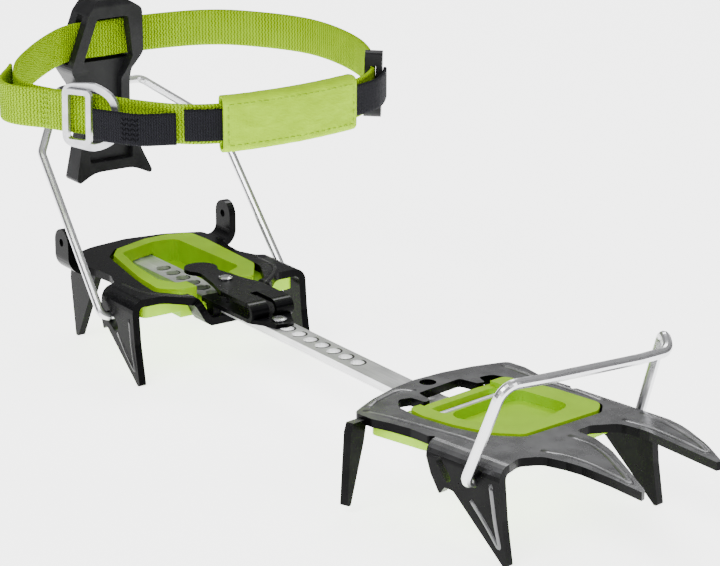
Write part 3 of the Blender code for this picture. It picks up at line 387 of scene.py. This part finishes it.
def finish_cad_nodes():
    """Give each visible CAD node its material and a softened edge. On the steel plates the bevel faces take
    a lighter edge material: partly worn coating, partly painted highlight.
    """
    for name, (face, edge, width) in FINISHES.items():
        piece = NODES[name]
        piece.data.materials.clear()
        piece.data.shade_smooth()
        piece.data.set_sharp_from_angle(angle=math.radians(38))
        piece.data.materials.append(face)
        if edge:
            piece.data.materials.append(edge)
        if width <= 0.0:
            continue
        soft = piece.modifiers.new("soft_edge", "BEVEL")
        soft.width = width * MM
        soft.segments = 2
        soft.limit_method = "ANGLE"
        soft.angle_limit = math.radians(40)
        soft.harden_normals = False
        soft.use_clamp_overlap = True
        # bevel faces get the lighter edge material: partly wear, partly painted highlight
        if edge:
            soft.material = 1


# ------------------------------------------------------------------- strap pieces
STRAP_HEIGHT = 114.3             # strap centre where it runs through the lever
STRAP_TILT = math.radians(2.6)   # the loop drops towards its front
PLAN = [(-90.7, 0.0), (-91.0, 18.0), (-87.0, 45.0), (-75.0, 62.5), (-50.0, 77.5),
        (-15.0, 76.0), (18.0, 60.0), (34.0, 42.0), (39.0, 22.0), (40.5, 0.0), (38.5, -22.0),
        (30.0, -37.5), (10.0, -52.5), (-9.0, -65.0), (-26.0, -69.5), (-47.0, -60.5),
        (-66.5, -44.0), (-83.0, -26.0), (-90.5, -13.5)]
LOOP = [(x, y, STRAP_HEIGHT - math.tan(STRAP_TILT) * (x - PLAN[0][0])) for x, y in PLAN]


def loop_frame(position):
    """Place, direction along and outward normal on the loop, at a count of its corners."""
    whole = math.floor(position)
    part = position - whole
    a, b, c, d = (Vector(LOOP[(whole + k) % len(LOOP)]) for k in (-1, 0, 1, 2))
    square = 2 * a - 5 * b + 4 * c - d
    cube = 3 * b - a - 3 * c + d
    place = 0.5 * (2 * b + (c - a) * part + square * part ** 2 + cube * part ** 3)
    along = 0.5 * ((c - a) + 2 * square * part + 3 * cube * part ** 2)
    along.normalize()
    outward = Vector((-along.y, along.x, 0.0)).normalized()
    return place, along, outward


def loop_path(start, end, offset, steps):
    """Points and outward normals beside the loop; offset may depend on the share run."""
    path = []
    for step in range(steps + 1):
        share = step / steps
        place, along, outward = loop_frame(start + (end - start) * share)
        reach = offset(share) if callable(offset) else offset
        path.append((place + outward * reach, outward))
    return path


def ribbon(name, path, width, thickness, face, closed=False, rise=0.0):
    """Webbing along a path of (point, outward) in the drawing frame, with rounded edges and strap UVs."""
    form = bmesh.new()
    layer = form.loops.layers.uv.new("strap")
    half = width / 2
    skin = thickness / 2
    section = [(-half, 0.0), (-half + 0.25 * skin, 0.75 * skin), (-half + skin, skin)]
    section += [(-half + (2 * half) * k / 6, skin * 1.0) for k in range(1, 6)]
    section += [(half - skin, skin), (half - 0.25 * skin, 0.75 * skin), (half, 0.0)]
    section += [(u, -v) for u, v in reversed(section[1:-1])]
    rows = []
    run = 0.0
    runs = []
    before = None
    for point, outward in path:
        if before is not None:
            run += (point - before).length
        before = point
        runs.append(run)
        rows.append([form.verts.new(at(*(point + outward * v + Vector((0, 0, u + rise)))))
                     for u, v in section])
    count = len(rows)
    spans = count if closed else count - 1
    total = run + (path[0][0] - path[-1][0]).length
    for row in range(spans):
        after = (row + 1) % count
        ends = (runs[row], total if after == 0 else runs[after])
        for k in range(len(section)):
            other = (k + 1) % len(section)
            quad = (rows[row][k], rows[after][k], rows[after][other], rows[row][other])
            made = form.faces.new(quad)
            made.smooth = True
            values = ((ends[0], section[k][0]), (ends[1], section[k][0]),
                      (ends[1], section[other][0]), (ends[0], section[other][0]))
            for corner, value in zip(made.loops, values):
                corner[layer].uv = value
    if not closed:
        for row, distance in ((rows[0], runs[0]), (list(reversed(rows[-1])), runs[-1])):
            cap = form.faces.new(row)
            for corner in cap.loops:
                corner[layer].uv = (distance, 0.0)
    bmesh.ops.recalc_face_normals(form, faces=form.faces)
    return mesh_object(name, form, face)


def strap_piece(made, slot, *replaced):
    """Let a finished strap piece ride on the lever and stand for its CAD solids."""
    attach(made, "lever")
    if replaced:
        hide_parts(*replaced)
    return made


def smooth_step(value):
    value = min(max(value, 0.0), 1.0)
    return value * value * (3 - 2 * value)


BUCKLE_AT = 12.38                # places along the loop, counted in its corner points
BUCKLE_FOLD = (12.95, 15.0)
BUCKLE_BULGE = 4.8
TAIL_SPAN = (10.9, 12.08)
TAPE = 12.0                      # width of the black tail and keeper webbing
SLEEVE_SPAN = (7.35, 10.0)
KEEPER_SPAN = (6.03, 10.75)
SLEEVE_HALF = 10.5
SLEEVE_IN = -1.3
SLEEVE_OUT = 4.3
STITCH_INSET = 0.08              # the sleeve's stitches start this far inside its ends
STITCH_HEIGHT = 7.6              # and run this far above and below the strap's middle
SECOND = 2.0                     # middle of the second layer, from the loop's own line
TAIL_LIFT = 6.4                  # the tail climbs this much over the rings


def ankle_strap():
    path = loop_path(0, len(LOOP), 0.0, len(LOOP) * 12)[:-1]
    made = ribbon("ankle_webbing", path, WEBBING, WEB_THICK, LIME_WEB, closed=True)
    strap_piece(made, STRAP_SLOT, "ankle_strap")


def fold_bulge(place):
    """How far the buckle strap stands off the loop on its way to the fold."""
    part = (place - BUCKLE_FOLD[0]) / (BUCKLE_FOLD[1] - BUCKLE_FOLD[0])
    return BUCKLE_BULGE * math.sin(math.pi * min(max(part, 0.0), 1.0)) ** 2


def buckle_strap():
    """Outer layer from behind the rings round to a soft fold on the left."""
    root = BUCKLE_AT - 0.15
    end = BUCKLE_FOLD[1]

    def offset(share):
        return SECOND + fold_bulge(root + (end - root) * share)
    path = loop_path(root, end, offset, 60)
    strap_piece(ribbon("buckle_webbing", path, WEBBING, WEB_THICK, LIME_WEB), STRAP_SLOT, "buckle_strap")


def tail_tab():
    def lift(share):
        return SECOND + TAIL_LIFT * smooth_step(share * 2.0)
    path = loop_path(*TAIL_SPAN, lift, 26)
    made = ribbon("tail_webbing", path, TAPE, WEB_THICK, BLACK_WEB, rise=(TAPE - WEBBING) / 2)
    strap_piece(made, "black_webbing", "tail_tab")


def slider_strap():
    def lift(share):
        return SECOND + 2.4 * smooth_step((0.26 - share) / 0.14)
    path = loop_path(*KEEPER_SPAN, lift, 70)
    strap_piece(ribbon("keeper_webbing", path, TAPE, WEB_THICK, BLACK_WEB), "black_webbing", "slider_strap")


def tube_section(half_width, low, high, corner, steps=5):
    """Points (up, out) of a rounded box, round once."""
    centres = ((half_width - corner, high - corner, 0), (-half_width + corner, high - corner, 1),
               (-half_width + corner, low + corner, 2), (half_width - corner, low + corner, 3))
    points = []
    for up, out, quarter in centres:
        for k in range(steps + 1):
            angle = math.pi / 2 * (quarter + k / steps)
            points.append((up + corner * math.cos(angle), out + corner * math.sin(angle)))
    return points


def sleeve():
    """Sewn sleeve: one soft open tube round the strap and the black webbing."""
    path = loop_path(*SLEEVE_SPAN, 0.0, 48)
    form = bmesh.new()
    layer = form.loops.layers.uv.new("strap")
    outer = tube_section(SLEEVE_HALF, SLEEVE_IN - 1.0, SLEEVE_OUT, 2.6)
    inner = tube_section(SLEEVE_HALF - 1.0, SLEEVE_IN, SLEEVE_OUT - 1.0, 1.8)
    wrinkle = random.Random(5)
    phases = [wrinkle.uniform(0.0, 2 * math.pi) for _ in range(6)]
    skins = []
    run = 0.0
    runs = [0.0]
    for (before, _), (after, _) in zip(path, path[1:]):
        run += (after - before).length
        runs.append(run)
    for section, depth in ((outer, 0.22), (inner, 0.0)):
        rows = []
        for (point, outward), distance in zip(path, runs):
            row = []
            for up, out in section:
                wave = sum(math.sin(distance * (0.35 + 0.17 * k) + up * (0.5 - 0.13 * k) + phases[k])
                           for k in range(6)) / 6
                skin_point = point + outward * (out + depth * wave) + Vector((0, 0, up))
                row.append(form.verts.new(at(*skin_point)))
            rows.append(row)
        skins.append(rows)
    size = len(outer)
    for rows, section, turn in ((skins[0], outer, 1), (skins[1], inner, -1)):
        for row in range(len(rows) - 1):
            for k in range(size):
                other = (k + 1) % size
                quad = [rows[row][k], rows[row + 1][k], rows[row + 1][other], rows[row][other]]
                made = form.faces.new(quad[::turn])
                made.smooth = True
                values = [(runs[row], section[k][0]), (runs[row + 1], section[k][0]),
                          (runs[row + 1], section[other][0]), (runs[row], section[other][0])]
                for corner, value in zip(made.loops, values[::turn]):
                    corner[layer].uv = value
    for end in (0, -1):
        for k in range(size):
            other = (k + 1) % size
            form.faces.new((skins[0][end][k], skins[0][end][other], skins[1][end][other], skins[1][end][k]))
    bmesh.ops.recalc_face_normals(form, faces=form.faces)
    strap_piece(mesh_object("sleeve_cloth", form, SLEEVE_CLOTH), STRAP_SLOT, "strap_sleeve")


def stitch_row(name, places, face, slot, radius=0.22, length=1.9, gap=0.9, slant=0.0):
    """Dashes of thread along a line of (point, outward) places in the drawing frame."""
    form = bmesh.new()
    run = 0.0
    pitch = length + gap
    marks = []
    for (a, n), (b, _) in zip(places, places[1:]):
        marks.append((run, a, b, n))
        run += (b - a).length
    count = int(run // pitch)
    for k in range(count):
        centre = (k + 0.5) * run / count
        here = max((m for m in marks if m[0] <= centre), key=lambda m: m[0])
        start, a, b, outward = here
        along = (b - a).normalized()
        middle = a + along * (centre - start)
        up = outward.cross(along)
        direction = (along + up * slant).normalized()
        side = outward.cross(direction)
        corners = []
        for u, v, w in ((-0.5, 0, -0.15), (-0.4, 1, 0.35), (-0.4, -1, 0.35), (0.4, 1, 0.35), (0.4, -1, 0.35),
                        (0.5, 0, -0.15), (0.0, 0.9, 0.9), (0.0, -0.9, 0.9)):
            point = middle + direction * u * length + side * v * radius + outward * w * radius
            corners.append(form.verts.new(at(*point)))
        tail, a1, a2, b1, b2, head, m1, m2 = corners
        for face_corners in ((tail, a1, a2), (a1, m1, m2, a2), (m1, b1, b2, m2), (b1, head, b2),
                             (tail, head, b1, m1, a1), (head, tail, a2, m2, b2)):
            form.faces.new(face_corners)
    bmesh.ops.recalc_face_normals(form, faces=form.faces)
    for face_made in form.faces:
        face_made.smooth = True
    return strap_piece(mesh_object(name, form, face), slot)


def stitched_line(start, end, offset, height, steps=40):
    """Places for a row of stitches along the loop at one height on the strap."""
    path = loop_path(start, end, offset, steps)
    return [(point + Vector((0, 0, height)), outward) for point, outward in path]


def upright_line(position, offset, low, high):
    point, outward = loop_path(position, position + 0.01, offset, 1)[0]
    return [(point + Vector((0, 0, low)), outward), (point + Vector((0, 0, high)), outward)]


def stitching():
    skin = SLEEVE_OUT + 0.05
    a, b = SLEEVE_SPAN
    a += STITCH_INSET
    b -= STITCH_INSET
    high = STITCH_HEIGHT
    for name, row in (("sleeve_stitch_top", stitched_line(a, b, skin, high)),
                      ("sleeve_stitch_bottom", stitched_line(a, b, skin, -high)),
                      ("sleeve_stitch_right", upright_line(a, skin, -high, high)),
                      ("sleeve_stitch_left", upright_line(b, skin, -high, high))):
        stitch_row(name, row, LIME_THREAD, STRAP_SLOT)
    skin = SECOND + WEB_THICK / 2
    for k in range(5):
        place = 12.98 + 0.05 * k
        row = upright_line(place, skin + fold_bulge(place), -6.6, 6.6)
        stitch_row(f"bar_tack_{k}", row, LIME_THREAD, STRAP_SLOT, 0.22, 1.6, 0.1, 0.9 if k % 2 else -0.9)
    for k in range(6):
        place = 11.40 + 0.04 * k
        share = (place - TAIL_SPAN[0]) / (TAIL_SPAN[1] - TAIL_SPAN[0])
        offset = SECOND + TAIL_LIFT * smooth_step(share * 2.0)
        point, outward = loop_path(place, place + 0.01, offset, 1)[0]
        lift = point + outward * WEB_THICK / 2
        row = [(lift + Vector((0, 0, -6.0)), outward), (lift + Vector((0, 0, 3.0)), outward)]
        slant = 0.8 if k % 2 else -0.8
        stitch_row(f"tail_tack_{k}", row, BLACK_THREAD, "black_webbing", 0.2, 1.5, 0.15, slant)


# ---------------------------------------------------------------- stamped beads
def bead(name, places, body, face, width=2.3, height=0.5):
    """A low half-round ridge along (point, normal) places given in row-frame metres."""
    form = bmesh.new()
    arc = [(-0.5, -0.4), (-0.42, 0.25), (-0.22, 0.8), (0.0, 1.0), (0.22, 0.8), (0.42, 0.25), (0.5, -0.4)]
    rows = []
    for k, (point, normal) in enumerate(places):
        before = places[max(k - 1, 0)][0]
        after = places[min(k + 1, len(places) - 1)][0]
        side = normal.cross(after - before).normalized()
        share = k / (len(places) - 1)
        taper = min(1.0, 5.0 * min(share, 1.0 - share) + 0.15)
        row = []
        for u, v in arc:
            row.append(form.verts.new(point + (side * u * width + normal * v * height * taper) * MM))
        rows.append(row)
    for first, second in zip(rows, rows[1:]):
        for k in range(len(arc) - 1):
            made = form.faces.new((first[k], second[k], second[k + 1], first[k + 1]))
            made.smooth = True
        form.faces.new((first[-1], second[-1], second[0], first[0]))
    form.faces.new(rows[0])
    form.faces.new(rows[-1])
    bmesh.ops.recalc_face_normals(form, faces=form.faces)
    made = mesh_object(name, form, face)
    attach(made, body)


def rounded_way(corners, steps=6, share=0.35):
    """A path through corner points with each inner corner drawn as a curve."""
    way = [Vector(corners[0])]
    for before, here, after in zip(corners, corners[1:], corners[2:]):
        before, here, after = Vector(before), Vector(here), Vector(after)
        start = here + (before - here) * share
        end = here + (after - here) * share
        for k in range(steps + 1):
            t = k / steps
            way.append(start * (1 - t) ** 2 + here * 2 * t * (1 - t) + end * t ** 2)
    way.append(Vector(corners[-1]))
    full = []
    for a, b in zip(way, way[1:]):
        count = max(1, round((b - a).length / 2.5))
        full += [a + (b - a) * k / count for k in range(count)]
    return full + [way[-1]]


def heel_deck(x, y):
    """Height of the heel plate's top, with the dip of its front bridge."""
    return PLATE_TOP - 8.5 * smooth_step((16.5 - abs(y)) / 6.0) * smooth_step((x + 3.0) / 4.0)


def beads():
    up = Vector((0.0, 0.0, 1.0))
    tops = {
        "near_fin_bead": [(206.5, -17.0), (214.0, -14.5), (226.0, -14.3), (240.0, -16.6), (246.5, -18.4),
                          (237.0, -12.5), (224.0, -4.8), (213.0, -0.8), (203.5, -0.5)],
        "far_fin_bead": [(206.0, 23.5), (216.0, 24.2), (232.0, 22.4), (246.5, 19.4), (238.0, 24.6),
                         (226.0, 29.0), (214.0, 32.0), (206.0, 32.5)],
        "near_side_bead": [(141.0, -33.5), (156.0, -31.0), (172.0, -28.6), (190.0, -26.0)],
        "far_side_bead": [(141.0, 33.5), (156.0, 32.0), (172.0, 31.8), (190.0, 32.5)],
        "rear_edge_bead": [(139.5, -31.0), (137.0, -24.0), (134.5, -12.0), (139.0, -7.0)],
    }
    for name, corners in tops.items():
        way = rounded_way(corners)
        bead(name, [(front_at(p.x, p.y, PLATE_TOP), up) for p in way], "front", BEAD_HIGHLIGHT_STEEL)
    for side, word in ((-1, "near"), (1, "far")):
        half = FRONT_HALF * side
        outward = Matrix.Rotation(FRONT_YAW, 3, "Z") @ Vector((0.0, float(side), 0.0))
        way = rounded_way([(204.5, 26.5), (206.8, 14.0), (209.6, 4.5), (203.5, 11.5), (196.0, 18.5)])
        bead(f"{word}_tooth_bead", [(front_at(p.x, half, p.y), outward) for p in way], "front",
             BEAD_HIGHLIGHT_STEEL, 1.8, 0.4)
        half = HEEL_HALF * side
        way = rounded_way([(-2.5, 25.5), (-0.8, 14.0), (1.8, 4.5), (-5.0, 10.5), (-12.0, 17.5)])
        bead(f"{word}_heel_tooth_bead", [(at(p.x, half, p.y), Vector((0.0, float(side), 0.0))) for p in way],
             "heel", HEEL_BEAD_HIGHLIGHT, 1.8, 0.4)
        corners = [(-23.0, 31.0 * side), (-8.0, 30.5 * side), (-0.5, 25.0 * side), (5.5, 18.5 * side),
                   (8.8, 13.0 * side), (9.0, 2.0 * side)]
        way = rounded_way(corners)
        bead(f"{word}_bridge_bead", [(at(p.x, p.y, heel_deck(p.x, p.y)), up) for p in way], "heel",
             HEEL_BEAD_HIGHLIGHT, 1.9, 0.4)


def hole_rims():
    """Punched, slightly raised rims round the far half of the bar's holes, in a dark coat: painted shade at
    the holes.
    """
    up = Vector((0.0, 0.0, 1.0))
    for k in HOLE_RANGE:
        middle = FIRST_HOLE + HOLE_PITCH * k
        places = []
        for step in range(13):
            angle = math.radians(-75.0 + 195.0 * step / 12)
            reach = HOLE_R + 0.45
            places.append((at(middle + reach * math.cos(angle), reach * math.sin(angle), BAR_TOP), up))
        bead(f"hole_rim_{k + 2}", places, "bar", RIM_SHADE_STEEL, 0.9, 0.2)


# --------------------------------------------------------------- light and camera
def area_light(name, place, target, size, power, colour=(1.0, 1.0, 1.0)):
    light = bpy.data.lights.new(name, "AREA")
    light.shape = "RECTANGLE"
    light.size = size[0]
    light.size_y = size[1]
    light.energy = power
    light.color = colour
    made = bpy.data.objects.new(name, light)
    bpy.context.scene.collection.objects.link(made)
    made.location = place
    made.rotation_euler = (Vector(target) - Vector(place)).to_track_quat("-Z", "Y").to_euler()
    return made


def stage_plane(name, place, size, face, target=None):
    """A flat card that isn't part of the object."""
    form = bmesh.new()
    bmesh.ops.create_grid(form, x_segments=1, y_segments=1, size=0.5)
    bmesh.ops.scale(form, vec=(size[0], size[1], 1.0), verts=form.verts)
    made = mesh_object(name, form, face)
    made.location = place
    if target is not None:
        made.rotation_euler = (Vector(target) - Vector(place)).to_track_quat("-Z", "Y").to_euler()
    return made


def sky():
    """Soft overhead light that fades to a dim horizon, so flat tops don't wash out."""
    world = bpy.data.worlds.new("studio")
    bpy.context.scene.world = world
    world.use_nodes = True
    tree = world.node_tree
    place = tree.nodes.new("ShaderNodeTexCoord")
    parts = tree.nodes.new("ShaderNodeSeparateXYZ")
    tone = tree.nodes.new("ShaderNodeValToRGB")
    tone.color_ramp.elements[0].position = 0.05
    tone.color_ramp.elements[0].color = (0.13, 0.13, 0.133, 1.0)
    tone.color_ramp.elements[1].position = 0.85
    tone.color_ramp.elements[1].color = (1.0, 1.0, 1.0, 1.0)
    tree.links.new(place.outputs["Generated"], parts.inputs["Vector"])
    tree.links.new(parts.outputs["Z"], tone.inputs["Fac"])
    tree.links.new(tone.outputs["Color"], tree.nodes["Background"].inputs["Color"])
    tree.nodes["Background"].inputs["Strength"].default_value = 0.6


def studio():
    sky()
    paper, shader = new_material("paper_floor")
    grain = noise(paper, (40.0, 40.0, 40.0), 2.0)
    link(paper, ramp(paper, grain, [(0.0, (0.93, 0.93, 0.93)), (1.0, (0.96, 0.96, 0.96))]),
         shader.inputs["Base Color"])
    shader.inputs["Roughness"].default_value = 1.0
    shader.inputs["Specular IOR Level"].default_value = 0.1
    shader.inputs["Emission Color"].default_value = (1.0, 1.0, 1.0, 1.0)
    shader.inputs["Emission Strength"].default_value = 3.4
    stage_plane("floor", (0.0, 0.0, -0.0005), (8.0, 8.0), paper)
    card, shader = new_material("black_card")
    shader.inputs["Base Color"].default_value = (0.01, 0.01, 0.01, 1.0)
    shader.inputs["Roughness"].default_value = 0.9
    middle = (0.0, 0.0, 0.06)
    stage_plane("card_left", (-0.55, -1.15, 0.45), (0.25, 1.3), card, middle)
    stage_plane("card_right", (1.25, 0.75, 0.40), (0.30, 1.2), card, middle)
    area_light("key", (0.35, -0.95, 1.15), middle, (0.8, 0.5), 17.0)
    area_light("rim", (-0.7, 0.7, 1.2), middle, (0.7, 0.5), 9.0)
    area_light("side", (1.1, 0.25, 0.75), middle, (0.3, 0.7), 5.0)


CAMERA_PLACE = (793.0, -481.0, 329.0)     # drawing frame, millimetres
CAMERA_TURN = 55.4                        # degrees round, and degrees above level
CAMERA_RISE = 17.7


def camera():
    lens = bpy.data.cameras.new("photo_view")
    lens.lens = 125.0
    lens.sensor_width = 36.0
    lens.clip_start = 0.05
    made = bpy.data.objects.new("photo_view", lens)
    bpy.context.scene.collection.objects.link(made)
    made.location = at(*CAMERA_PLACE)
    made.rotation_euler = (math.radians(90.0 - CAMERA_RISE), 0.0, math.radians(CAMERA_TURN))
    bpy.context.scene.camera = made


finish_cad_nodes()
ankle_strap()
buckle_strap()
tail_tab()
slider_strap()
sleeve()
stitching()
beads()
hole_rims()
studio()
camera()
